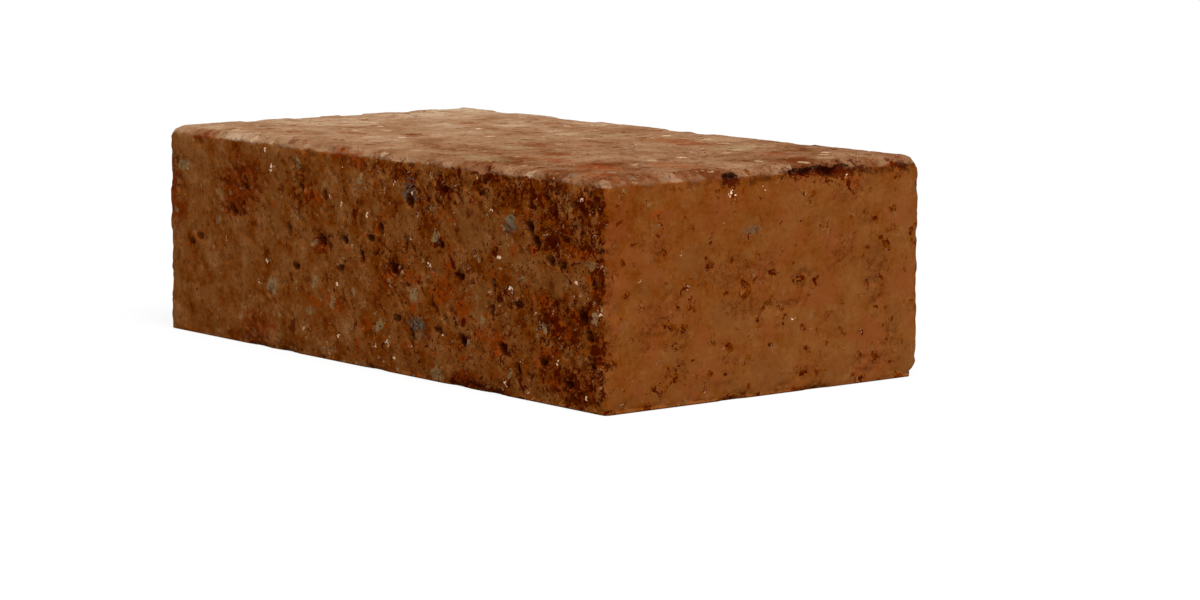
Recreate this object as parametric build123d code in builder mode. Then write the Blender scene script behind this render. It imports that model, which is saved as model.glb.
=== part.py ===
from build123d import *
import os

# A tuff building block, sawn from the quarry as one piece of stone and chipped in handling.
# X runs along its length, Y across its width and Z up; the origin is the centre of the lower bed.
# All sizes are in millimetres.

# Size of the block over its sawn faces
LENGTH = 370
WIDTH = 200
HEIGHT = 110

# Wear of the arrises: a worn slope round the upper bed, plain rounding elsewhere
UPRIGHT_ARRIS_RADIUS = 4
UPPER_WEAR_IN = 5
UPPER_WEAR_DOWN = 3
UPPER_BED_CORNER_RADIUS = 6
UPPER_BED_BLEND_RADIUS = 6
SHOULDER_BLEND_RADIUS = 2.5
LOWER_ARRIS_RADIUS = 2

# Flakes broken off arrises and corners: scoops cut by a ball of the given radius.
# The reach is how far the ball passes inside the sharp arris or corner of the unworn block.
UPPER_FLAKE_RADIUS = 60
UPPER_FLAKE_REACH = 3.3
LOWER_FLAKE_RADIUS = 45
LOWER_FLAKE_REACH = 2
UPRIGHT_FLAKE_RADIUS = 40
UPRIGHT_FLAKE_REACH = 2.8
UPPER_CORNER_FLAKE_RADIUS = 50
UPPER_CORNER_FLAKE_REACH = 5.5
LOWER_CORNER_FLAKE_RADIUS = 20
LOWER_CORNER_FLAKE_REACH = 4.5

# Where the flakes lie: shares of the length, width or height along each arris, from its middle.
# Those on the back and the left end are guessed, so that the block is worn all round.
FRONT_UPPER_FLAKES = [-0.37, -0.11, 0.07, 0.24, 0.36]
FRONT_LOWER_FLAKES = [-0.27, -0.20, 0.01, 0.19, 0.27]
END_UPPER_FLAKES = [-0.30, 0.03, 0.37]
END_LOWER_FLAKES = [-0.11, 0.16]
BACK_UPPER_FLAKES = [-0.33, -0.04, 0.21]
LEFT_UPPER_FLAKES = [-0.18, 0.24]
NEAR_UPRIGHT_FLAKES = [-0.26, 0.02, 0.24]

# Pits: six-sided, narrower inwards, with an uneven outline given as shares of a pit's length and height.
# Angles are in degrees. Like pits lie at three angles in turn, a step apart.
PIT_OUTLINE = [(-0.5, 0.06), (-0.22, 0.5), (0.28, 0.4), (0.5, -0.08), (0.14, -0.5), (-0.36, -0.38)]
PIT_WALL_SLOPE = 18
PIT_ANGLE_STEP = 14

# Gas holes that the saw opened in the front: blunt ones, and narrow ones that stand upright or lie level
BLUNT_PIT_LENGTH = 9
BLUNT_PIT_HEIGHT = 7
BLUNT_PIT_DEPTH = 3.2
BLUNT_PIT_ANGLE = 45
NARROW_PIT_LENGTH = 8
NARROW_PIT_HEIGHT = 4
NARROW_PIT_DEPTH = 2.2
UPRIGHT_PIT_ANGLE = 90
LEVEL_PIT_ANGLE = 0

# Where the gas holes lie: shares of the pitted field, along it and up it, from its middle.
# The field is the front less a margin along its arrises, which the flakes have to themselves.
PIT_MARGIN = 10
BLUNT_PITS = [
    (0.48, -0.12),
    (0.365, 0.305),
    (0.38, 0.23),
    (0.305, -0.355),
    (0.215, -0.355),
    (0.095, 0.355),
    (0.055, -0.025),
    (-0.12, 0.065),
    (-0.35, 0.16),
]
UPRIGHT_PITS = [
    (0.5, 0.06),
    (0.5, -0.38),
    (0.5, 0.44),
    (0.495, -0.21),
    (0.475, 0.33),
    (0.42, 0.38),
    (0.34, -0.45),
    (0.285, -0.035),
    (0.28, -0.17),
    (0.10, -0.38),
    (0.085, 0.12),
    (0.025, 0.18),
    (-0.02, 0.01),
    (-0.11, 0.325),
    (-0.17, 0.33),
    (-0.20, 0.09),
]
LEVEL_PITS = [
    (0.46, 0.45),
    (0.45, -0.48),
    (0.44, 0.27),
    (0.435, 0.13),
    (0.41, 0.15),
    (0.395, -0.39),
    (0.34, -0.11),
    (0.26, 0.45),
    (0.21, -0.01),
    (0.175, 0.44),
    (0.165, 0.145),
    (0.16, -0.325),
    (0.065, -0.30),
    (0, 0.12),
    (-0.065, 0.09),
    (-0.075, -0.08),
    (-0.185, -0.11),
    (-0.315, 0.305),
    (-0.44, -0.025),
    (-0.465, -0.065),
]

# A chip in the end, close under the upper arris, and a hollow beside it where pits run into each other.
# Places are shares of the width from its middle; each pit of the hollow also has its own scale.
END_PITS_BELOW_TOP = 4
END_PIT_DEPTH = 3.2
CHIP_LENGTH = 9
CHIP_HEIGHT = 5
CHIP_PLACE = -0.12
HOLLOW_PIT_LENGTH = 14
HOLLOW_PIT_HEIGHT = 4
HOLLOW_PITS = [(0.08, 0.8), (0.125, 0.95), (0.175, 1.15), (0.225, 1.2)]

# Planes of the sawn faces: the front is the long face at -Y, and the end is the short face at +X
FRONT = -WIDTH / 2
BACK = WIDTH / 2
LEFT = -LENGTH / 2
END = LENGTH / 2
MIDDLE = HEIGHT / 2


def scoop(point, outward, radius, reach):
    """Cut a ball that passes inside a point of the unworn block by the reach, from the outward side."""
    with Locations(Vector(*point) + Vector(*outward).normalized() * (radius - reach)):
        Sphere(radius, mode=Mode.SUBTRACT)


def pit(middle, inward, length, height, angle, depth):
    """Cut a pit round a point of a sawn face."""
    with BuildSketch(Plane(origin=middle, x_dir=(-inward[1], inward[0], 0), z_dir=inward)) as outline:
        Polygon(*[(along * length, up * height) for along, up in PIT_OUTLINE], rotation=angle)
    extrude(outline.sketch, amount=depth, taper=PIT_WALL_SLOPE, mode=Mode.SUBTRACT)


def uneven(angle, index):
    """The angle of one of a run of like pits."""
    return angle + (index % 3 - 1) * PIT_ANGLE_STEP


def front_pits(places, length, height, angle, depth):
    """Cut like gas holes in the front."""
    for index, (along, up) in enumerate(places):
        middle = (along * (LENGTH - 2 * PIT_MARGIN), FRONT, MIDDLE + up * (HEIGHT - 2 * PIT_MARGIN))
        pit(middle, (0, 1, 0), length, height, uneven(angle, index), depth)


def end_pit(place, length, height, angle):
    """Cut a pit in the end, close under its upper arris."""
    pit((END, place * WIDTH, HEIGHT - END_PITS_BELOW_TOP), (-1, 0, 0), length, height, angle, END_PIT_DEPTH)


with BuildPart() as tuff_block:
    # Body up to the shoulder, then the worn slope from the shoulder to the upper bed
    with BuildSketch():
        RectangleRounded(LENGTH, WIDTH, UPRIGHT_ARRIS_RADIUS)
    extrude(amount=HEIGHT - UPPER_WEAR_DOWN)
    with BuildSketch(Plane.XY.offset(HEIGHT - UPPER_WEAR_DOWN)):
        RectangleRounded(LENGTH, WIDTH, UPRIGHT_ARRIS_RADIUS)
    with BuildSketch(Plane.XY.offset(HEIGHT)):
        RectangleRounded(LENGTH - 2 * UPPER_WEAR_IN, WIDTH - 2 * UPPER_WEAR_IN, UPPER_BED_CORNER_RADIUS)
    loft()

    # Rounding at the upper bed, the shoulder and the lower bed
    level_edges = tuff_block.edges().filter_by(Plane.XY).group_by(Axis.Z)
    fillet(level_edges[-1], radius=UPPER_BED_BLEND_RADIUS)
    fillet(level_edges[1], radius=SHOULDER_BLEND_RADIUS)
    fillet(level_edges[0], radius=LOWER_ARRIS_RADIUS)

    # Flakes along the arrises, and down the upright between the front and the end
    for share in FRONT_UPPER_FLAKES:
        scoop((share * LENGTH, FRONT, HEIGHT), (0, -1, 1), UPPER_FLAKE_RADIUS, UPPER_FLAKE_REACH)
    for share in FRONT_LOWER_FLAKES:
        scoop((share * LENGTH, FRONT, 0), (0, -1, -1), LOWER_FLAKE_RADIUS, LOWER_FLAKE_REACH)
    for share in END_UPPER_FLAKES:
        scoop((END, share * WIDTH, HEIGHT), (1, 0, 1), UPPER_FLAKE_RADIUS, UPPER_FLAKE_REACH)
    for share in END_LOWER_FLAKES:
        scoop((END, share * WIDTH, 0), (1, 0, -1), LOWER_FLAKE_RADIUS, LOWER_FLAKE_REACH)
    for share in BACK_UPPER_FLAKES:
        scoop((share * LENGTH, BACK, HEIGHT), (0, 1, 1), UPPER_FLAKE_RADIUS, UPPER_FLAKE_REACH)
    for share in LEFT_UPPER_FLAKES:
        scoop((LEFT, share * WIDTH, HEIGHT), (-1, 0, 1), UPPER_FLAKE_RADIUS, UPPER_FLAKE_REACH)
    for share in NEAR_UPRIGHT_FLAKES:
        scoop((END, FRONT, MIDDLE + share * HEIGHT), (1, -1, 0), UPRIGHT_FLAKE_RADIUS, UPRIGHT_FLAKE_REACH)

    # Broken corners: the four upper ones, and the lower one at the end and the back
    for along in (LEFT, END):
        for across in (FRONT, BACK):
            outward = (along / END, across / BACK, 1)
            scoop((along, across, HEIGHT), outward, UPPER_CORNER_FLAKE_RADIUS, UPPER_CORNER_FLAKE_REACH)
    scoop((END, BACK, 0), (1, 1, -1), LOWER_CORNER_FLAKE_RADIUS, LOWER_CORNER_FLAKE_REACH)

    # Gas holes in the front
    front_pits(BLUNT_PITS, BLUNT_PIT_LENGTH, BLUNT_PIT_HEIGHT, BLUNT_PIT_ANGLE, BLUNT_PIT_DEPTH)
    front_pits(UPRIGHT_PITS, NARROW_PIT_LENGTH, NARROW_PIT_HEIGHT, UPRIGHT_PIT_ANGLE, NARROW_PIT_DEPTH)
    front_pits(LEVEL_PITS, NARROW_PIT_LENGTH, NARROW_PIT_HEIGHT, LEVEL_PIT_ANGLE, NARROW_PIT_DEPTH)

    # Chip and hollow in the end
    end_pit(CHIP_PLACE, CHIP_LENGTH, CHIP_HEIGHT, LEVEL_PIT_ANGLE)
    for index, (place, scale) in enumerate(HOLLOW_PITS):
        end_pit(place, scale * HOLLOW_PIT_LENGTH, scale * HOLLOW_PIT_HEIGHT, uneven(LEVEL_PIT_ANGLE, index))

tuff_block.part.label = "tuff_block"
os.makedirs("parts", exist_ok=True)
export_step(tuff_block.part, "parts/tuff_block.step")
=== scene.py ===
import itertools
import math

import bpy
import numpy as np
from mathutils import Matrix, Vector


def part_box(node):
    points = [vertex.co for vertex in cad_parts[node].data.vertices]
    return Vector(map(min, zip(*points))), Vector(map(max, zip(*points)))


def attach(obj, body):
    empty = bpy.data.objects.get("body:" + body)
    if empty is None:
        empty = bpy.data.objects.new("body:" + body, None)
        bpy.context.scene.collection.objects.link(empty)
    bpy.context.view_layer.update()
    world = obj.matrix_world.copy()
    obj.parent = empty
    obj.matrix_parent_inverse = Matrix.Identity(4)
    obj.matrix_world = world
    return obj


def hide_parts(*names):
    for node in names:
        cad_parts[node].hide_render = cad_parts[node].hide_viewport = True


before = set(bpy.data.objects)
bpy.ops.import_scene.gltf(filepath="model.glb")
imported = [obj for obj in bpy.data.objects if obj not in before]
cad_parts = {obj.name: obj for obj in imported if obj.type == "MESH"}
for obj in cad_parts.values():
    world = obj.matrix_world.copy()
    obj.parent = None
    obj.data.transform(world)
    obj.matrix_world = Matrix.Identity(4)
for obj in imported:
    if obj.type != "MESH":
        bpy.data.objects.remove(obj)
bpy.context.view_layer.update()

# The looks of a sawn tuff block: its rough surface and its finish, a pale floor, soft light and a camera.
# Places on the stone are in millimetres in the frame of the solid: X along it, Y to the back, Z up.
# The front is the long face at the lowest Y, and the right end is the short face at the highest X.
MM = 0.001
PER_METRE = 1000
LOW, HIGH = (np.array(corner) * PER_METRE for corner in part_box("tuff_block"))
MIDDLE = (LOW + HIGH) / 2

# The camera, fitted to the photograph's outline: place in metres, angles in degrees, lens in millimetres
CAMERA_PLACE = (1.459, -1.142, 0.2756)
CAMERA_AZIMUTH = 50.83
CAMERA_PITCH = -7.66
CAMERA_ROLL = -0.17
CAMERA_LENS = 109.2

# Light: a big soft lamp above the right end, and the world round about. Lengths are in metres.
KEY_DIRECTION = (0.49, -0.18, 0.85)
KEY_DISTANCE = 5
KEY_SIZE = 2.9
KEY_POWER = 279
WORLD_LEVEL = 0.447

# The floor, in metres: grey in the light it throws back, pale where it is seen, and white further off
FLOOR_REACH = 12
FLOOR_COLOUR = (0.42, 0.42, 0.42, 1)
FLOOR_SEEN_COLOUR = (0.9, 0.9, 0.9, 1)
FLOOR_WHITE_SHARE = 0.86
FLOOR_FADE_FROM = 0.5
FLOOR_FADE_TO = 1.6
WHITE = (1, 1, 1, 1)

# The stone's mesh: the voxels it is rebuilt from, in millimetres, and its most triangles
VOXEL = 0.75
MOST_TRIANGLES = 195000

# Rounding of the plain box that the finish measures depths from, in millimetres
BOX_ROUNDING = 6

# Relief worked into the solid, in millimetres; three depths are for the sides, the ends and the beds
DEEPEST_RELIEF = 3.5
SWELL_WAVE = 70
SWELL_DEPTH = 0.5
UNEVEN_WAVE = 15
UNEVEN_DEPTHS = (0.25, 0.10, 0.45)
LUMPY_WAVE = 4.5
LUMPY_DEPTHS = (0.18, 0.05, 0.22)
GRAINY_WAVE = 2.0
GRAINY_DEPTHS = (0.24, 0.04, 0.10)
SAW_WAVES = (10, 60, 2.5)
SAW_DEPTH = 0.10
ARRIS_WAVE = 4
ARRIS_DEPTH = 1.5
BRIM_WAVE = 14
BRIM_DEPTH = 0.8
GRIT_WAVE = 3.4
FINE_GRIT_WAVE = 1.8
BROKEN_PIT_DEPTHS = (1.4, 0.6, 0.5)
SCATTERED_PIT_DEPTHS = (0.7, 0, 0.4)
PLACED_PIT_DEPTH = 1.0
BROKEN_RIM_WAVE = 7
CROWD_WAVE = 45
WALL_WAVE = 2.8
BUBBLE_WALL_PUSH = 2.0
PIT_WALL_PUSH = 3.2

# Gas bubbles: cells and radii in millimetres, the share of cells that have one, the power that makes
# small ones the more common, and the deepest cut in radii
BUBBLE_CELL = 7.0
BUBBLE_SHARE = 0.35
SMALLEST_BUBBLE = 0.7
LARGEST_BUBBLE = 2.3
BUBBLE_SIZE_POWER = 2.5
BUBBLE_DEEPEST = 1.4

# Stone colours, linear. The tones run from dark to light along a noise that keeps close to a half.
# They come from the photograph's main colours, scaled to the light here: the stone's from the front's,
# changed since, and the six darker ones of the dust, with its painted sheen, from the top's.
STONE_TONES = [
    (0.39, (0.114, 0.017, 0.0003, 1)), (0.44, (0.169, 0.034, 0.0016, 1)), (0.48, (0.198, 0.052, 0.0060, 1)),
    (0.52, (0.222, 0.067, 0.0125, 1)), (0.57, (0.250, 0.087, 0.0200, 1)), (0.64, (0.310, 0.128, 0.0430, 1)),
]
# Dust on what faces up, paled also by a painted sheen
DUST_AND_SHEEN_TONES = [
    (0.37, (0.124, 0.031, 0.007, 1)), (0.42, (0.170, 0.060, 0.022, 1)), (0.455, (0.204, 0.087, 0.037, 1)),
    (0.49, (0.238, 0.111, 0.052, 1)), (0.53, (0.271, 0.135, 0.066, 1)), (0.58, (0.306, 0.165, 0.084, 1)),
    (0.64, (0.360, 0.210, 0.120, 1)), (0.74, (0.470, 0.320, 0.200, 1)),
]
BROWN = (0.150, 0.026, 0.0015, 1)
UMBER = (0.100, 0.012, 0.0006, 1)
# Painted shade in hollows and pits, with the pits' dark oxide
HOLLOW_SHADE_AND_OXIDE = (0.046, 0.003, 0.0002, 1)
RUST = (0.270, 0.040, 0.0015, 1)
SCORIA = (0.165, 0.021, 0.0008, 1)
OLIVE = (0.210, 0.074, 0.0160, 1)
ASH = (0.300, 0.215, 0.1000, 1)
SLATE = (0.115, 0.118, 0.0800, 1)
GRAPHITE = (0.028, 0.032, 0.0250, 1)
CREAM = (0.880, 0.600, 0.4000, 1)
RUDDY = (0.245, 0.060, 0.0150, 1)
DRAB = (0.172, 0.062, 0.0170, 1)
MAROON = (0.062, 0.004, 0.0002, 1)
TAN = (0.280, 0.104, 0.0290, 1)
# Painted shadow under the upper arris of the ends
PAINTED_SHADOW = (0.060, 0.017, 0.0025, 1)
DREGS = (0.095, 0.010, 0.0002, 1)
SPECKLED = (0.150, 0.034, 0.0040, 1)

# Single grains: their colours, by the share of grains before each, and their cells in millimetres
GRAIN_TONES = [(0, UMBER), (0.25, BROWN), (0.45, RUST), (0.58, OLIVE), (0.80, TAN), (0.95, ASH)]
GRAIN_CELLS = (8, 4, 2.2)
# Grains in the dust on what faces up, paled with it by the painted sheen
DUST_AND_SHEEN_GRAIN_TONES = [
    (0, (0.105, 0.024, 0.006, 1)), (0.2, (0.210, 0.060, 0.024, 1)), (0.36, (0.210, 0.128, 0.070, 1)),
    (0.5, (0.270, 0.135, 0.066, 1)), (0.72, (0.360, 0.215, 0.125, 1)), (0.92, (0.530, 0.365, 0.216, 1)),
]
DUST_AND_SHEEN_GRAIN_CELLS = (14, 8, 4.5)
STREWN_CRYSTAL_CELL = 5.5

# Edges are coarsely torn on what is drawn at this size in millimetres or larger, finely jagged on the rest
COARSE = 5

# Dark gaps between grains: the noise that opens one, then for each layer its wavelength in millimetres
# and what it gains everywhere and on the ends
GAP_BAR = 0.67
GAP_LAYERS = [(9, 0, -0.2), (5, 0, -0.10), (2.4, 0.035, 0.015)]

# Inclusions in the order they are laid on: marks, colour, strength, how ragged and how soft the rim is,
# and how far the dust with its painted sheen on top and the saw's drag on the ends dim them
INCLUSIONS = [
    ("olive", OLIVE, 0.65, 4, 0.3, 0, 0),
    ("scoria", SCORIA, 0.75, 3, 0.4, 0.35, 0),
    ("rust", RUST, 0.75, 5, 0.3, 0.55, 0.5),
    ("ash", ASH, 0.62, 3, 0.25, 0.45, 0),
    ("slate", SLATE, 0.75, 4, 0.25, 0, 0.45),
]

# The painted shadow, a dark band on the ends under the upper arris: the heights where it starts and is
# full, in millimetres
SHADE_FROM = 103
SHADE_FULL = 106.5

# Noises of the finish: wavelengths in millimetres, how far places are pushed about to tear the edges
# of what is drawn there, and how the smears of the ends are stretched
# Dust with its painted sheen
DUST_AND_SHEEN_WAVE = 30
PATCH_WAVE = 26
MOTTLE_WAVE = 12
RAGGED_WAVE = 7
ROUGH_WAVE = 5
FINE_WAVE = 2.2
TORN_WAVE = 5
TORN_REACH = 8
JAGGED_WAVE = 1.6
JAGGED_REACH = 6
SMEAR_WAVE = 3
SMEAR_STRETCH = (1, 0.12, 1)

# Tones of the stone and of the dust with its painted sheen, what the ends gain, and how they drift with
# each millimetre of X, Y or Z
STONE_TONE = 0.507
STONE_DRIFT_X = -0.00014
END_GAIN = 0.049
END_DRIFT_Y = 0.0002
END_DRIFT_Z = -0.0003
DUST_AND_SHEEN_TONE = 0.56
DUST_AND_SHEEN_DRIFT_X = -0.0005
DUST_AND_SHEEN_DRIFT_Y = 0.00025

# Where along X the busier right of the block sets in and is full, in millimetres
RIGHT_FROM = -150
RIGHT_FULL = 60

# Strengths of layers of colour
RUDDY_STRENGTH = 0.5
DRAB_STRENGTH = 0.3
SPECKLED_STRENGTH = 0.22
# Dust on what faces up, with a painted sheen in it, and its grains
DUST_AND_SHEEN_STRENGTH = 0.95
DUST_AND_SHEEN_GRAIN_STRENGTH = 0.6
# Painted shadow under the ends' upper arris
SHADE_STRENGTH = 0.75

# Finish of the surface; the bump's height is in metres
ROUGHNESS = 0.95
BUMP_STRENGTH = 0.5
BUMP_HEIGHT = 0.0006

# Marks in the stone: the middle along and up its face, half its width and half its height. Most middles
# were picked in the photograph and turned into millimetres; the rest, and the sizes, are given.
# Crystals have one size. The front has X along and Z up, the right end Y and Z, and the top X and Y.
# All marks but crystals reach into the stone by the same depth.
MARK_DEPTH = 7
# Pits are sunk into the relief and painted dark with shade and their oxide; the last four, along the lower
# arris, are chips with their underside painted dark as shadow.
FRONT_PITS = [
    (128, 83, 2.6, 3.0), (169, 44, 3.0, 3.6), (172, 37, 2.2, 3.0), (132, 77, 2.4, 2.6),
    (74, 54, 2.2, 2.2), (58, 68, 2.4, 2.0), (145, 68, 2.2, 2.2), (153, 67, 2.0, 2.2),
    (101, 51, 1.4, 4.2), (100, 40, 1.3, 3.8), (107, 46, 1.8, 2.0), (119, 45, 3.0, 1.8),
    (75, 23, 2.2, 3.0), (108, 22, 1.5, 3.2), (139, 20, 2.4, 1.7), (157, 12, 2.4, 2.0),
    (160, 6, 2.0, 1.8), (183, 23, 2.0, 1.6), (181, 76, 2.4, 1.8), (129, 12, 1.6, 1.6),
    (118, 13, 1.4, 3.5), (56, 26, 1.8, 1.6), (-43, 61, 3.0, 2.6), (-22, 63, 3.6, 2.0),
    (-8, 56, 1.2, 3.4), (4, 58, 1.8, 1.6), (0, 66, 2.6, 1.6), (9, 71, 1.3, 2.8), (30, 66, 1.3, 4.2),
    (19, 53, 3.0, 2.8), (22, 28, 2.4, 1.6), (-65, 45, 2.8, 1.6), (-25, 48, 2.0, 1.8),
    (-39, 84, 1.3, 2.4), (-71, 63, 1.8, 4.0), (-60, 85, 1.4, 3.6), (35, 21, 1.4, 3.6),
    (33, 87, 2.6, 2.2), (-153, 102, 2.4, 1.6), (-122, 69, 3.0, 2.0), (-154, 53, 3.2, 1.6),
    (-162, 49, 3.0, 1.6), (-106, 2, 12, 4.0), (-76, 2, 9, 3.0), (84, 1, 14, 3.0), (102, 1, 8, 2.5),
]
FRONT_BROKEN = [
    (175, 96, 13, 9), (168, 83, 13, 9), (149, 89, 11, 8), (144, 78, 7, 6), (181, 62, 6, 14),
    (178, 20, 8, 15), (58, 94, 12, 9), (71, 96, 9, 9), (91, 101, 10, 6), (103, 104, 9, 5),
    (48, 88, 8, 7), (28, 99, 14, 6), (8, 103, 12, 5), (-115, 82, 20, 14), (120, 98, 20, 9),
    (140, 100, 15, 8), (-121, 69, 10, 6), (-178, 85, 9, 10), (150, 40, 16, 14), (-42, 60, 8, 7),
    (17, 50, 10, 10), (-60, 82, 9, 14), (160, 10, 14, 9),
]
FRONT_RUST = [
    (60, 46, 9, 7), (103, 25, 7, 6), (151, 37, 6, 4), (140, 48, 5, 3), (88, 27, 4, 3),
    (125, 88, 5, 2.5), (75, 38, 8, 5), (148, 9, 7, 3), (167, 73, 11, 4), (143, 26, 7, 2.5),
    (64, 60, 4, 5), (-31, 29, 6, 3.5), (-48, 29, 4, 2.5), (-5, 22, 6, 3), (-43, 58, 6, 4),
    (34, 49, 8, 4), (16, 46, 5, 4), (-12, 103, 6, 3), (-51, 83, 6, 5),
]
# Scoria; the two along the lower arris, at (-100, 10) and (80, 4), are also painted shadow of the chipped
# underside.
FRONT_SCORIA = [
    (-113, 82, 19, 13), (-181, 78, 5, 12), (-175, 64, 8, 7), (-125, 70, 9, 5), (-100, 10, 14, 8),
    (80, 4, 12, 4), (-27, 107, 9, 5), (-153, 109, 11, 5),
]
FRONT_OLIVE = [
    (81, 80, 13, 12), (92, 45, 9, 7), (-84, 72, 6, 22), (145, 58, 12, 6), (115, 70, 8, 6),
    (-136, 71, 5, 6),
]
FRONT_ASH = [
    (-86, 33, 5.0, 4.5), (36, 40, 3.6, 3.6), (54, 4, 4.0, 3.0), (140, 36, 2.4, 2.6),
    (-62, 98, 2.0, 3.6), (-53, 24, 3.0, 2.2), (-168, 89, 7.0, 2.6), (5, 21, 3.0, 1.8),
    (-14, 37, 1.8, 2.2), (174, 69, 5.0, 2.0), (113, 85, 4.0, 2.0),
]
FRONT_SLATE = [(34, 92, 5.0, 5.0), (113, 82, 4.4, 3.4), (40, 25, 6.0, 5.5), (122, 58, 1.8, 1.4)]
FRONT_CRYSTALS = [
    (114, 52, 2.0), (163, 60, 1.7), (180, 47, 1.9), (63, 31, 1.5), (105, 66, 1.7), (167, 99, 1.5),
    (174, 94, 1.5), (149, 21, 1.8), (109, 6, 1.5), (170, 7, 1.9), (184, 64, 1.6), (99, 88, 1.3),
    (49, 57, 1.9), (60, 24, 1.4), (132, 42, 1.3), (181, 12, 1.7), (161, 53, 1.2), (-92, 103, 2.0),
    (-86, 94, 2.4), (35, 91, 2.0), (20, 95, 1.6), (-3, 77, 1.9), (-24, 80, 1.4), (35, 68, 1.6),
    (-91, 45, 1.7), (-98, 34, 1.5), (-58, 14, 1.7), (-27, 13, 1.7), (4, 12, 1.6), (14, 15, 1.9),
    (10, 5, 1.5), (20, 8, 1.8), (-29, 40, 1.4), (-34, 84, 1.3), (-23, 99, 1.3), (-129, 53, 1.3),
    (-166, 89, 1.6),
]
END_BROKEN = [
    (-68, 42, 8, 12), (-60, 50, 8, 6), (-54, 32, 6, 6), (-74, 35, 6, 8), (-24, 60, 16, 8),
    (-4, 59, 9, 8), (-16, 44, 10, 6), (8, 43, 16, 3), (70, 53, 8, 16), (64, 80, 7, 5), (48, 65, 10, 8),
    (64, 9, 11, 5), (71, 12, 7, 4), (33, 15, 3, 3), (22, 9, 7, 4), (-25, 18, 5, 8), (10, 3, 7, 3),
    (-18, 2, 5, 3), (38, 35, 3, 3), (87, 16, 7, 2), (-68, 75, 6, 7), (-79, 79, 5, 4), (20, 55, 8, 6),
    (-54, 18, 5, 8), (80, 23, 6, 8), (52, 95, 11, 6), (-24, 105, 9, 5), (-4, 107, 20, 4),
    (38, 106, 26, 5), (78, 104, 10, 4), (-97, 70, 4, 14), (-97, 30, 4, 18),
]
# Hollows close under the upper arris of the end, sunk into the relief and painted dark as shade
END_HOLLOWS = [(20, 105.5, 9, 2.8), (45, 104.5, 14, 3.5), (-24, 104, 4.5, 3), (86, 105, 4, 2)]
END_SLATE = [(-11, 80, 5.5, 2.2)]
END_RUST = [(-71, 92, 4, 2.5), (-63, 93, 3, 2), (52, 100, 8, 3)]
END_CRYSTALS = [
    (-24, 98, 1.7), (-21, 97, 1.2), (-79, 61, 0.9), (16, 36, 1.4), (50, 102, 1.3), (-3, 100, 1.0),
    (-89, 4, 1.4),
]
TOP_RUST = [
    (59, 50, 22, 8), (143, -70, 14, 8), (151, -33, 14, 8), (-90, 31, 7, 6), (100, -60, 20, 6),
    (165, -88, 12, 5), (138, 43, 9, 7),
]
TOP_SCORIA = [
    (-91, 32, 6, 6), (140, -65, 11, 5), (28, 18, 8, 5), (29, -16, 6, 6), (-81, -52, 11, 6),
    (-50, -34, 9, 6), (73, -39, 10, 7),
]
TOP_ASH = [(68, -81, 22, 7), (37, -36, 9, 8), (104, 49, 11, 10), (7, 49, 6, 4)]
TOP_CRYSTALS = [
    (-24, -6, 4.5), (-63, 16, 4.0), (29, 68, 4.5), (-49, 65, 3.5), (15, 26, 3.5), (124, -2, 4.0),
    (-104, -18, 3.5), (-81, -30, 3.5), (-43, -48, 3.5), (58, 70, 3.5), (146, 72, 4.0),
]


def on_front(marks):
    """Middles and reaches in space of marks on the front."""
    return [((along, LOW[1], up), (wide, MARK_DEPTH, tall)) for along, up, wide, tall in marks]


def on_end(marks):
    """Middles and reaches in space of marks on the right end."""
    return [((HIGH[0], along, up), (MARK_DEPTH, wide, tall)) for along, up, wide, tall in marks]


def on_top(marks):
    """Middles and reaches in space of marks on the top."""
    return [((along, up, HIGH[2]), (wide, tall, MARK_DEPTH)) for along, up, wide, tall in marks]


MARKS = {
    "pit": on_front(FRONT_PITS) + on_end(END_HOLLOWS),
    "broken": on_front(FRONT_BROKEN) + on_end(END_BROKEN),
    "rust": on_front(FRONT_RUST) + on_end(END_RUST) + on_top(TOP_RUST),
    "scoria": on_front(FRONT_SCORIA) + on_top(TOP_SCORIA),
    "olive": on_front(FRONT_OLIVE),
    "ash": on_front(FRONT_ASH) + on_top(TOP_ASH),
    "slate": on_front(FRONT_SLATE) + on_end(END_SLATE),
}
CRYSTALS = [((along, LOW[1], up), size) for along, up, size in FRONT_CRYSTALS]
CRYSTALS += [((HIGH[0], along, up), size) for along, up, size in END_CRYSTALS]
CRYSTALS += [((along, up, HIGH[2]), size) for along, up, size in TOP_CRYSTALS]


# Smooth fields over points in millimetres come from a lattice of random values, repeated through space
# and turned so that it lies along no face. The far distance stands for no mark near by.
LATTICE = 64
TURN = np.linalg.qr(np.random.default_rng(5).normal(size=(3, 3)))[0]
FAR = 3.0


def noise(points, wavelength, seed):
    """Smooth noise from 0 to 1; the wavelength is one number, or one for each axis."""
    table = np.random.default_rng(seed).random((LATTICE,) * 3)
    place = (points / np.asarray(wavelength)) @ TURN
    cell = np.floor(place).astype(int)
    part = place - cell
    part = part ** 3 * (part * (part * 6 - 15) + 10)
    total = np.zeros(len(points))
    for corner in itertools.product((0, 1), repeat=3):
        index = (cell + corner) % LATTICE
        weight = np.where(corner, part, 1 - part).prod(axis=1)
        total += weight * table[tuple(index.T)]
    return total


def step(value, low, high):
    """Smooth step from 0 at low to 1 at high."""
    share = np.clip((value - low) / (high - low), 0, 1)
    return share * share * (3 - 2 * share)


def nearest(points, marks):
    """Distance to the nearest mark, where 0 is a mark's middle and 1 its rim."""
    found = np.full(len(points), FAR)
    for middle, reach in marks:
        away = (points - middle) / reach
        found = np.minimum(found, np.sqrt((away ** 2).sum(axis=1)))
    return found


def plain_box(points):
    """Depth of points under a plain box with rounded arrises, and which way its surface faces there."""
    past = np.abs(points - MIDDLE) - (HIGH - MIDDLE - BOX_ROUNDING)
    over = np.maximum(past, 0)
    length = np.linalg.norm(over, axis=1)
    depth = BOX_ROUNDING - length - np.minimum(past.max(axis=1), 0)
    outward = over / np.maximum(length, 1e-6)[:, None] * np.sign(points - MIDDLE)
    return depth, outward


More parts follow.
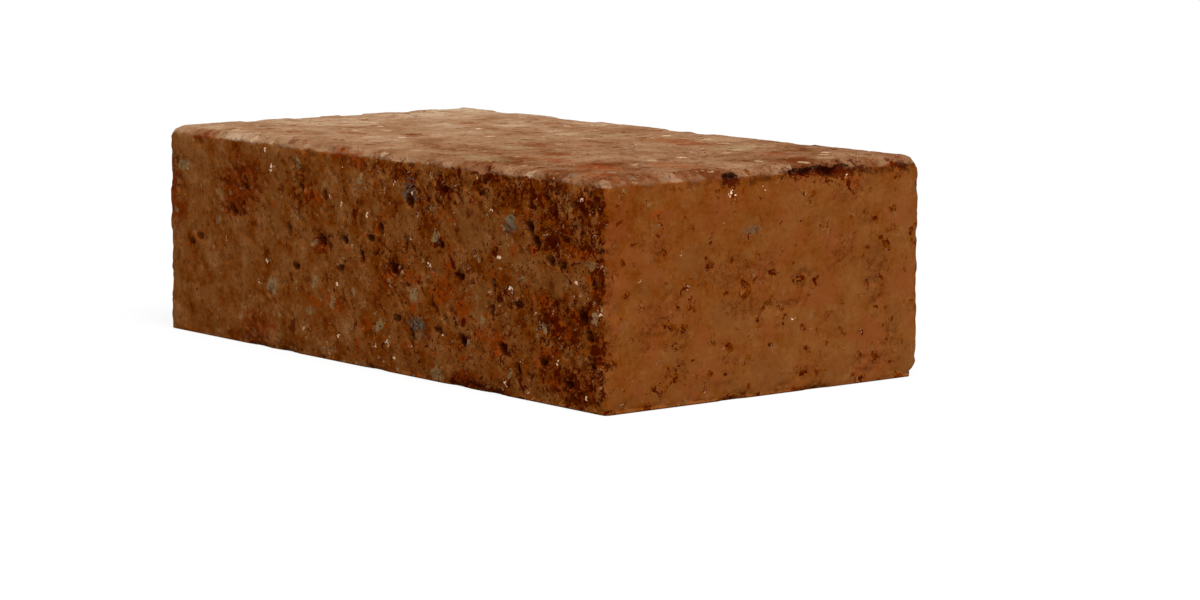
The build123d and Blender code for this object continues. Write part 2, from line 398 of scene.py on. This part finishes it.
def bubbles(points, normals, growth, seed):
    """Depth of the gas bubbles that the surface cuts open: balls, as big as growth lets them be."""
    rng = np.random.default_rng(seed)
    jitter = rng.random((LATTICE,) * 3 + (3,))
    size = rng.random((LATTICE,) * 3)
    present = rng.random((LATTICE,) * 3)
    base = np.floor(points / BUBBLE_CELL).astype(int)
    depth = np.zeros(len(points))
    for offset in itertools.product((-1, 0, 1), repeat=3):
        index = base + offset
        cell = tuple((index % LATTICE).T)
        spread = (LARGEST_BUBBLE - SMALLEST_BUBBLE) * size[cell] ** BUBBLE_SIZE_POWER
        radius = (SMALLEST_BUBBLE + spread) * growth
        away = points - (index + jitter[cell]) * BUBBLE_CELL
        out = (away * normals).sum(axis=1)
        room = radius ** 2 - (away ** 2).sum(axis=1)
        inside = (room > 0) & (present[cell] < BUBBLE_SHARE)
        reach = np.sqrt(np.maximum(room + out ** 2, 0)) + out
        depth = np.maximum(depth, np.where(inside, np.minimum(reach, BUBBLE_DEEPEST * radius), 0))
    return depth


# The stone's shape


def bake_modifiers(piece):
    """Replace a piece's mesh by what its modifiers make of it."""
    graph = bpy.context.evaluated_depsgraph_get()
    old = piece.data
    made = bpy.data.meshes.new_from_object(piece.evaluated_get(graph))
    piece.modifiers.clear()
    piece.data = made
    bpy.data.meshes.remove(old)


def read(mesh, what):
    """Vertex positions or normals of a mesh as an array."""
    values = np.empty(len(mesh.vertices) * 3)
    mesh.vertices.foreach_get(what, values)
    return values.reshape(-1, 3)


def weigh(facing, depths):
    """One depth for each point, by how far it faces the way that each of the depths is for."""
    return sum(depth * share for depth, share in zip(depths, facing))


def relief(points, normals):
    """How far each point of the sawn solid lies under the true, rough surface, in millimetres."""
    side, end, bed = facing = [normals[:, axis] ** 2 for axis in (1, 0, 2)]
    front = side * (normals[:, 1] < 0)
    shown = 1 - step(-normals[:, 2], 0.5, 0.9)
    from_arris = np.sort(np.concatenate([points - LOW, HIGH - points], axis=1), axis=1)[:, 1]
    from_broken = nearest(points, MARKS["broken"]) + 0.5 * noise(points, BROKEN_RIM_WAVE, 10) - 0.25
    broken = 1 - step(from_broken, 0.6, 1.3)

    # Roughness of the faces, from wide to fine, and level traces of the saw on the ends
    depth = SWELL_DEPTH * noise(points, SWELL_WAVE, 11)
    depth += weigh(facing, UNEVEN_DEPTHS) * noise(points, UNEVEN_WAVE, 12)
    depth += weigh(facing, LUMPY_DEPTHS) * noise(points, LUMPY_WAVE, 13)
    depth += weigh((front, end, bed), GRAINY_DEPTHS) * noise(points, GRAINY_WAVE, 14)
    depth += SAW_DEPTH * end * noise(points, SAW_WAVES, 15)

    # Wear along the arrises, with small steps in a wider strip beside them
    depth += ARRIS_DEPTH * (1 - step(from_arris, 1, 8)) * noise(points, ARRIS_WAVE, 16) ** 2
    depth += BRIM_DEPTH * (1 - step(from_arris, 5, 15)) * step(noise(points, BRIM_WAVE, 19), 0.5, 0.6)

    # Ragged pits where the stone is broken, and fewer elsewhere
    grit = 0.6 * noise(points, GRIT_WAVE, 17) + 0.4 * noise(points, FINE_GRIT_WAVE, 18)
    depth += weigh(facing, BROKEN_PIT_DEPTHS) * broken * step(grit, 0.50, 0.72)
    depth += weigh(facing, SCATTERED_PIT_DEPTHS) * step(grit, 0.62, 0.80)

    # Gas bubbles, more of them to the right, and the listed pits, all with uneven walls
    push = np.stack([noise(points, WALL_WAVE, 20 + axis) - 0.5 for axis in range(3)], axis=1)
    crowd = step(noise(points, CROWD_WAVE, 31) + 0.25 * points[:, 0] / HIGH[0], 0.25, 0.75)
    growth = side * (0.4 + 0.6 * crowd) + 0.4 * end * broken + 0.6 * bed
    depth += bubbles(points + BUBBLE_WALL_PUSH * push, normals, growth, 41)
    pits = 1 - step(nearest(points + PIT_WALL_PUSH * push, MARKS["pit"]), 0.45, 1.2)
    depth += PLACED_PIT_DEPTH * pits
    return DEEPEST_RELIEF * (1 - np.exp(-depth / DEEPEST_RELIEF)) * shown


def make_stone(node):
    """A copy of the solid's mesh with the rough surface of the stone worked into it."""
    piece = bpy.data.objects.new("tuff_block_stone", node.data.copy())
    bpy.context.scene.collection.objects.link(piece)
    remesh = piece.modifiers.new("remesh", "REMESH")
    remesh.mode = "VOXEL"
    remesh.voxel_size = VOXEL * MM
    bake_modifiers(piece)

    points = read(piece.data, "co") / MM
    normals = read(piece.data, "normal")
    points -= normals * relief(points, normals)[:, None]
    piece.data.vertices.foreach_set("co", np.clip(points, LOW, HIGH).ravel() * MM)
    piece.data.update()

    triangles = sum(len(face.vertices) - 2 for face in piece.data.polygons)
    thin = piece.modifiers.new("thin", "DECIMATE")
    thin.ratio = min(1, MOST_TRIANGLES / triangles)
    bake_modifiers(piece)
    piece.data.polygons.foreach_set("use_smooth", [True] * len(piece.data.polygons))
    add_masks(piece.data)
    return piece


def add_masks(mesh):
    """Per-vertex masks for the finish: depth under the plain box, facing an end or up, and the marks."""
    points = read(mesh, "co") / MM
    depth, outward = plain_box(points)
    masks = {"depth": depth, "end": outward[:, 0] ** 2, "top": np.maximum(outward[:, 2], 0) ** 2}
    for name, marks in MARKS.items():
        masks[name] = nearest(points, marks)
    for name, values in masks.items():
        mesh.attributes.new(name, "FLOAT", "POINT").data.foreach_set("value", values)


# The stone's finish


class Field:
    """A number that varies over a surface; arithmetic with it adds shader nodes."""

    def __init__(self, graph, socket):
        self.graph = graph
        self.socket = socket

    def __add__(self, other):
        return self.graph.math("ADD", self, other)

    def __sub__(self, other):
        return self.graph.math("SUBTRACT", self, other)

    def __rsub__(self, other):
        return self.graph.math("SUBTRACT", other, self)

    def __mul__(self, other):
        return self.graph.math("MULTIPLY", self, other)

    def __truediv__(self, other):
        return self.graph.math("DIVIDE", self, other)

    __radd__ = __add__
    __rmul__ = __mul__


class Graph:
    """Short ways to add and link the shader nodes of one material."""

    def __init__(self, tree):
        self.tree = tree

    def node(self, kind, inputs=(), **settings):
        """Add a node with its settings and what feeds its inputs."""
        made = self.tree.nodes.new(kind)
        for name, value in settings.items():
            setattr(made, name, value)
        for key, value in dict(inputs).items():
            self.feed(made.inputs[key], value)
        return made

    def feed(self, socket, value):
        """Link a socket to what feeds it, or set it to a constant."""
        value = getattr(value, "socket", value)
        if isinstance(value, bpy.types.NodeSocket):
            self.tree.links.new(value, socket)
        else:
            socket.default_value = value

    def math(self, operation, first, second):
        """A sum, product or the like of two numbers."""
        made = self.node("ShaderNodeMath", {0: first, 1: second}, operation=operation)
        return Field(self, made.outputs[0])

    def vector(self, operation, first, second):
        """A sum, product or the like of two vectors."""
        return self.node("ShaderNodeVectorMath", {0: first, 1: second}, operation=operation).outputs[0]

    def distance(self, first, second):
        """How far two places are apart."""
        made = self.node("ShaderNodeVectorMath", {0: first, 1: second}, operation="DISTANCE")
        return Field(self, made.outputs["Value"])

    def axes(self, place):
        """The three coordinates of a place."""
        return [Field(self, part) for part in self.node("ShaderNodeSeparateXYZ", {0: place}).outputs]

    def ramp(self, value, low, high):
        """A smooth step from 0 at low to 1 at high."""
        inputs = {"Value": value, "From Min": low, "From Max": high}
        made = self.node("ShaderNodeMapRange", inputs, interpolation_type="SMOOTHSTEP")
        return Field(self, made.outputs[0])

    def colours(self, value, stops, interpolation="LINEAR"):
        """A colour along a run of stops."""
        made = self.node("ShaderNodeValToRGB", {"Fac": value})
        made.color_ramp.interpolation = interpolation
        while len(made.color_ramp.elements) < len(stops):
            made.color_ramp.elements.new(1)
        for element, (where, colour) in zip(made.color_ramp.elements, stops):
            element.position = where
            element.color = colour
        return made.outputs["Color"]

    def mix(self, factor, first, second):
        """The first colour, going over to the second as the factor goes from 0 to 1."""
        made = self.node("ShaderNodeMix", data_type="RGBA")
        sockets = {socket.identifier: socket for socket in made.inputs}
        self.feed(sockets["Factor_Float"], factor)
        self.feed(sockets["A_Color"], first)
        self.feed(sockets["B_Color"], second)
        return next(socket for socket in made.outputs if socket.type == "RGBA")

    def noise(self, place, wavelength, detail, rough):
        """Noise that keeps close to a half."""
        inputs = {"Vector": place, "Scale": 1 / wavelength, "Detail": detail, "Roughness": rough}
        return Field(self, self.node("ShaderNodeTexNoise", inputs).outputs["Fac"])

    def moved(self, place, wavelength, reach):
        """A place pushed about by noise, so that what is drawn there has ragged edges."""
        inputs = {"Vector": place, "Scale": 1 / wavelength, "Detail": 1.0}
        push = self.node("ShaderNodeTexNoise", inputs).outputs["Color"]
        push = self.vector("SUBTRACT", push, (0.5, 0.5, 0.5))
        push = self.vector("MULTIPLY", push, (reach, reach, reach))
        return self.vector("ADD", place, push)

    def grains(self, place, cell, least, most):
        """1 inside grains, one to a cell with a radius in shares of it, and a random share for each."""
        cells = self.node("ShaderNodeTexVoronoi", {"Vector": place, "Scale": 1 / cell}).outputs
        pick = self.node("ShaderNodeSeparateColor", {0: cells["Color"]}).outputs
        radius = Field(self, pick[1]) * (most - least) + least
        return self.ramp(radius - Field(self, cells["Distance"]), -0.04, 0.04), Field(self, pick[0])

    def mask(self, name):
        """A per-vertex mask of the mesh."""
        return Field(self, self.node("ShaderNodeAttribute", attribute_name=name).outputs["Fac"])

    def mark(self, name, ragged, reach, soft):
        """1 inside the marks of a name and 0 outside, with the rim pushed about by a noise."""
        return self.ramp(self.mask(name) + reach * (ragged - 0.5), 1 + soft, 1 - soft)


class Tuff:
    """The colour of brown tuff: the fields that vary over it, and the layers of colour made from them."""

    def __init__(self, graph):
        self.graph = graph
        metres = graph.node("ShaderNodeTexCoord").outputs["Object"]
        self.place = graph.vector("MULTIPLY", metres, (PER_METRE,) * 3)
        self.x, self.y, self.z = graph.axes(self.place)
        self.torn = graph.moved(self.place, TORN_WAVE, TORN_REACH)
        self.jagged = graph.moved(self.place, JAGGED_WAVE, JAGGED_REACH)
        self.fine = graph.noise(self.place, FINE_WAVE, 4, 0.65)
        self.rough = graph.noise(self.place, ROUGH_WAVE, 4, 0.65)
        self.ragged = graph.noise(self.place, RAGGED_WAVE, 3, 0.5)

        # Where the stone faces an end, lies under dust with its painted sheen or is broken, and how it
        # changes to the right
        top = graph.mask("top")
        fray = 1 + 5 * (self.ragged - 0.5)
        self.end = graph.ramp(graph.mask("end") * fray, 0.3, 0.5)
        self.dust_and_sheen = DUST_AND_SHEEN_STRENGTH * graph.ramp(top * fray, 0.02, 0.13)
        self.broken = graph.mark("broken", self.rough, 4, 0.4) * (1 - 0.6 * graph.ramp(top, 0.2, 0.6))
        self.drift = STONE_DRIFT_X * self.x
        self.right = graph.ramp(self.x, RIGHT_FROM, RIGHT_FULL)
        self.gaps = self.find_gaps()

    def spread(self, size):
        """Places with edges torn or jagged to suit the size of what is drawn there."""
        return self.torn if size >= COARSE else self.jagged

    def find_gaps(self):
        """1 in gaps between grains: many to the right and where it is broken, few elsewhere on the ends."""
        graph = self.graph
        bar = GAP_BAR + 1.4 * self.drift + 0.11 * self.end - self.broken * (0.08 + 0.08 * self.end)
        bar += 0.10 * graph.mark("olive", self.rough, 4, 0.3)
        gaps = 0
        for wavelength, gain, end_gain in GAP_LAYERS:
            level = graph.noise(self.spread(wavelength), wavelength, 2, 0.5) + gain + end_gain * self.end
            gaps = graph.math("MAXIMUM", gaps, graph.ramp(level - bar, 0, 0.02))
        return gaps

    def matrix(self):
        """Brown, darker to the right and where the sides are broken, paler and smeared on the ends."""
        graph = self.graph
        mottle = (graph.noise(self.place, MOTTLE_WAVE, 5, 0.62) - 0.5) * (0.6 - 0.35 * self.end)
        tone = STONE_TONE + mottle + self.drift - 0.03 * self.broken * (1 - self.end)
        stretched = graph.vector("MULTIPLY", self.place, SMEAR_STRETCH)
        smear = graph.noise(stretched, SMEAR_WAVE, 3, 0.6)
        gain = END_GAIN + END_DRIFT_Y * self.y + END_DRIFT_Z * self.z
        gain += 0.06 * (smear - 0.5) + 0.17 * (self.fine - 0.5)
        return graph.colours(tone + self.end * gain, STONE_TONES)

    def lay_patches(self, colour):
        """Ruddy, drab and speckled patches on the ends, which the saw dragged smooth."""
        graph = self.graph
        patch = graph.noise(self.place, PATCH_WAVE, 4, 0.62)
        colour = graph.mix(RUDDY_STRENGTH * self.end * graph.ramp(patch, 0.49, 0.60), colour, RUDDY)
        colour = graph.mix(DRAB_STRENGTH * self.end * graph.ramp(patch, 0.46, 0.38), colour, DRAB)
        return graph.mix(SPECKLED_STRENGTH * self.end * self.broken, colour, SPECKLED)

    def lay_dust_and_sheen(self, colour):
        """Dust with grains in it on what faces up, paled also by a painted sheen, and paler to the left and
        the back.
        """
        graph = self.graph
        tone = DUST_AND_SHEEN_TONE + 0.75 * (graph.noise(self.place, DUST_AND_SHEEN_WAVE, 6, 0.68) - 0.5)
        tone += DUST_AND_SHEEN_DRIFT_X * self.x + DUST_AND_SHEEN_DRIFT_Y * self.y
        colour = graph.mix(self.dust_and_sheen, colour, graph.colours(tone, DUST_AND_SHEEN_TONES))
        for cell in DUST_AND_SHEEN_GRAIN_CELLS:
            grain, kind = graph.grains(self.spread(cell), cell, 0, 0.4)
            tint = graph.colours(kind, DUST_AND_SHEEN_GRAIN_TONES, "CONSTANT")
            colour = graph.mix(DUST_AND_SHEEN_GRAIN_STRENGTH * grain * self.dust_and_sheen, colour, tint)
        return colour

    def lay_painted_shadow(self, colour):
        """Painted shadow: a dark ragged band on the ends close under the upper arris, fainter towards the
        front.
        """
        graph = self.graph
        height = self.z + 22 * (self.rough - 0.5) + 14 * (self.ragged - 0.5)
        under = graph.ramp(height, SHADE_FROM, SHADE_FULL)
        along = 0.35 + 0.65 * graph.ramp(self.y, -60, 0)
        strength = SHADE_STRENGTH * self.end * under * along * (1 - 0.85 * self.dust_and_sheen)
        return graph.mix(strength, colour, PAINTED_SHADOW)

    def lay_inclusions(self, colour):
        """The larger inclusions; slate is flecked with graphite."""
        graph = self.graph
        for name, tint, strength, reach, soft, dust_dims, end_dims in INCLUSIONS:
            if name == "slate":
                tint = graph.mix(graph.ramp(self.fine, 0.42, 0.52), GRAPHITE, tint)
            shown = strength * graph.mark(name, self.rough, reach, soft)
            shown *= (1 - dust_dims * self.dust_and_sheen) * (1 - end_dims * self.end)
            colour = graph.mix(shown, colour, tint)
        return colour

    def lay_grains(self, colour):
        """Grains of many colours, stronger to the right, faint on the ends and under the dust and its
        painted sheen.
        """
        graph = self.graph
        bare = (1 - self.dust_and_sheen) * (1 - 0.85 * self.end)
        for cell in GRAIN_CELLS:
            grain, kind = graph.grains(self.spread(cell), cell, 0.15, 0.45)
            tint = graph.colours(kind, GRAIN_TONES, "CONSTANT")
            colour = graph.mix((0.4 + 0.25 * self.right) * grain * bare, colour, tint)
        return colour

    def lay_gaps(self, colour):
        """Dark gaps, stronger to the right and fainter on the ends and under the dust and its painted
        sheen.
        """
        strength = (0.65 + 0.27 * self.right) * (1 - 0.45 * self.dust_and_sheen) * (1 - 0.5 * self.end)
        return self.graph.mix(strength * self.gaps, colour, self.graph.mix(self.end, MAROON, DREGS))

    def lay_hollow_shade_and_oxide(self, colour):
        """Painted shade, with dark oxide, in what lies deep and in the listed pits, more so to the right.
        """
        graph = self.graph
        dark = 0.35 + 0.43 * self.right
        colour = graph.mix(dark * graph.ramp(graph.mask("depth"), 1.6, 3.8), colour, HOLLOW_SHADE_AND_OXIDE)
        return graph.mix(dark * graph.mark("pit", self.fine, 7, 0.35), colour, HOLLOW_SHADE_AND_OXIDE)

    def lay_crystals(self, colour):
        """Pale crystals: small ones strewn about, clearer to the right, and the listed ones."""
        graph = self.graph
        strewn = graph.grains(self.jagged, STREWN_CRYSTAL_CELL, -0.28, 0.13)[0]
        shown = (0.15 + 0.4 * self.right) * strewn * (1 - 0.7 * self.end) * (1 - 0.4 * self.dust_and_sheen)
        colour = graph.mix(shown, colour, CREAM)
        placed = FAR
        for middle, size in CRYSTALS:
            placed = graph.math("MINIMUM", graph.distance(self.jagged, middle) / size, placed)
        return graph.mix(graph.ramp(placed, 0.72, 0.58) * (1 - 0.45 * self.dust_and_sheen), colour, CREAM)

    def colour(self):
        """The whole colour, from the matrix up."""
        colour = self.lay_patches(self.matrix())
        colour = self.lay_painted_shadow(self.lay_dust_and_sheen(colour))
        colour = self.lay_grains(self.lay_inclusions(colour))
        colour = self.lay_hollow_shade_and_oxide(self.lay_gaps(colour))
        return self.lay_crystals(colour)

    def height(self):
        """The fine bump: grit with the gaps sunk in it, smoother on the ends."""
        return (self.fine - 0.35 * self.gaps) * (1 - 0.75 * self.end)


def tuff_material():
    """Matt brown tuff: a mottled matrix with grains, inclusions, hollows painted dark with shade and oxide,
    crystals, a painted shadow under the ends' upper arris, and dust with a painted sheen on top.
    """
    material = bpy.data.materials.new("tuff")
    material.use_nodes = True
    shader = material.node_tree.nodes["Principled BSDF"]
    graph = Graph(material.node_tree)
    tuff = Tuff(graph)
    graph.feed(shader.inputs["Base Color"], tuff.colour())
    inputs = {"Height": tuff.height(), "Strength": BUMP_STRENGTH, "Distance": BUMP_HEIGHT}
    graph.feed(shader.inputs["Normal"], graph.node("ShaderNodeBump", inputs).outputs[0])
    shader.inputs["Roughness"].default_value = ROUGHNESS
    shader.inputs["Specular IOR Level"].default_value = 0.0
    return material


# The studio


def seen_or_mirrored(graph):
    """1 for camera, glossy and transmission rays, 0 for the rays that light the object."""
    path = graph.node("ShaderNodeLightPath").outputs
    seen = graph.math("MAXIMUM", path["Is Camera Ray"], path["Is Glossy Ray"])
    return graph.math("MAXIMUM", seen, path["Is Transmission Ray"])


def make_floor():
    """A wide pale floor at the foot of the block, white to the camera but for the block's soft shadow."""
    reach = FLOOR_REACH
    corners = [(-reach, -reach, 0), (reach, -reach, 0), (reach, reach, 0), (-reach, reach, 0)]
    mesh = bpy.data.meshes.new("floor")
    mesh.from_pydata(corners, [], [(0, 1, 2, 3)])
    floor = bpy.data.objects.new("floor", mesh)
    bpy.context.scene.collection.objects.link(floor)
    material = bpy.data.materials.new("floor")
    material.use_nodes = True
    material.node_tree.nodes.clear()
    graph = Graph(material.node_tree)
    seen = seen_or_mirrored(graph)
    colour = graph.mix(seen, FLOOR_COLOUR, FLOOR_SEEN_COLOUR)
    matt = graph.node("ShaderNodeBsdfDiffuse", {"Color": colour}).outputs[0]
    white = graph.node("ShaderNodeEmission", {"Strength": 1.0}).outputs[0]
    spot = graph.node("ShaderNodeTexCoord").outputs["Object"]
    far = graph.ramp(graph.distance(spot, (0, 0, 0)), FLOOR_FADE_FROM, FLOOR_FADE_TO)
    share = seen * (FLOOR_WHITE_SHARE + (1 - FLOOR_WHITE_SHARE) * far)
    mixed = graph.node("ShaderNodeMixShader", {0: share, 1: matt, 2: white}).outputs[0]
    graph.node("ShaderNodeOutputMaterial", {"Surface": mixed})
    mesh.materials.append(material)


def make_world():
    """An even pale surround: white where it is seen, softer where it lights the block."""
    world = bpy.data.worlds.new("surround")
    world.use_nodes = True
    world.node_tree.nodes.clear()
    graph = Graph(world.node_tree)
    level = graph.math("MAXIMUM", seen_or_mirrored(graph), WORLD_LEVEL)
    surround = graph.node("ShaderNodeBackground", {"Strength": level, "Color": WHITE}).outputs[0]
    graph.node("ShaderNodeOutputWorld", {"Surface": surround})
    bpy.context.scene.world = world


def make_key():
    """The big soft lamp."""
    lamp = bpy.data.lights.new("key", "AREA")
    lamp.size = KEY_SIZE
    lamp.energy = KEY_POWER
    key = bpy.data.objects.new("key", lamp)
    direction = Vector(KEY_DIRECTION).normalized()
    key.location = direction * KEY_DISTANCE
    key.rotation_euler = direction.to_track_quat("Z", "Y").to_euler()
    bpy.context.scene.collection.objects.link(key)


def make_camera():
    """The photograph's point of view."""
    lens = bpy.data.cameras.new("camera")
    lens.lens = CAMERA_LENS
    camera = bpy.data.objects.new("camera", lens)
    camera.location = CAMERA_PLACE
    angles = (90 + CAMERA_PITCH, CAMERA_ROLL, CAMERA_AZIMUTH)
    camera.rotation_euler = [math.radians(angle) for angle in angles]
    bpy.context.scene.collection.objects.link(camera)
    bpy.context.scene.camera = camera


stone = make_stone(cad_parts["tuff_block"])
stone.data.materials.clear()
stone.data.materials.append(tuff_material())
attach(stone, "root")
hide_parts("tuff_block")

make_floor()
make_world()
make_key()
make_camera()
bpy.context.scene.view_settings.view_transform = "Standard"
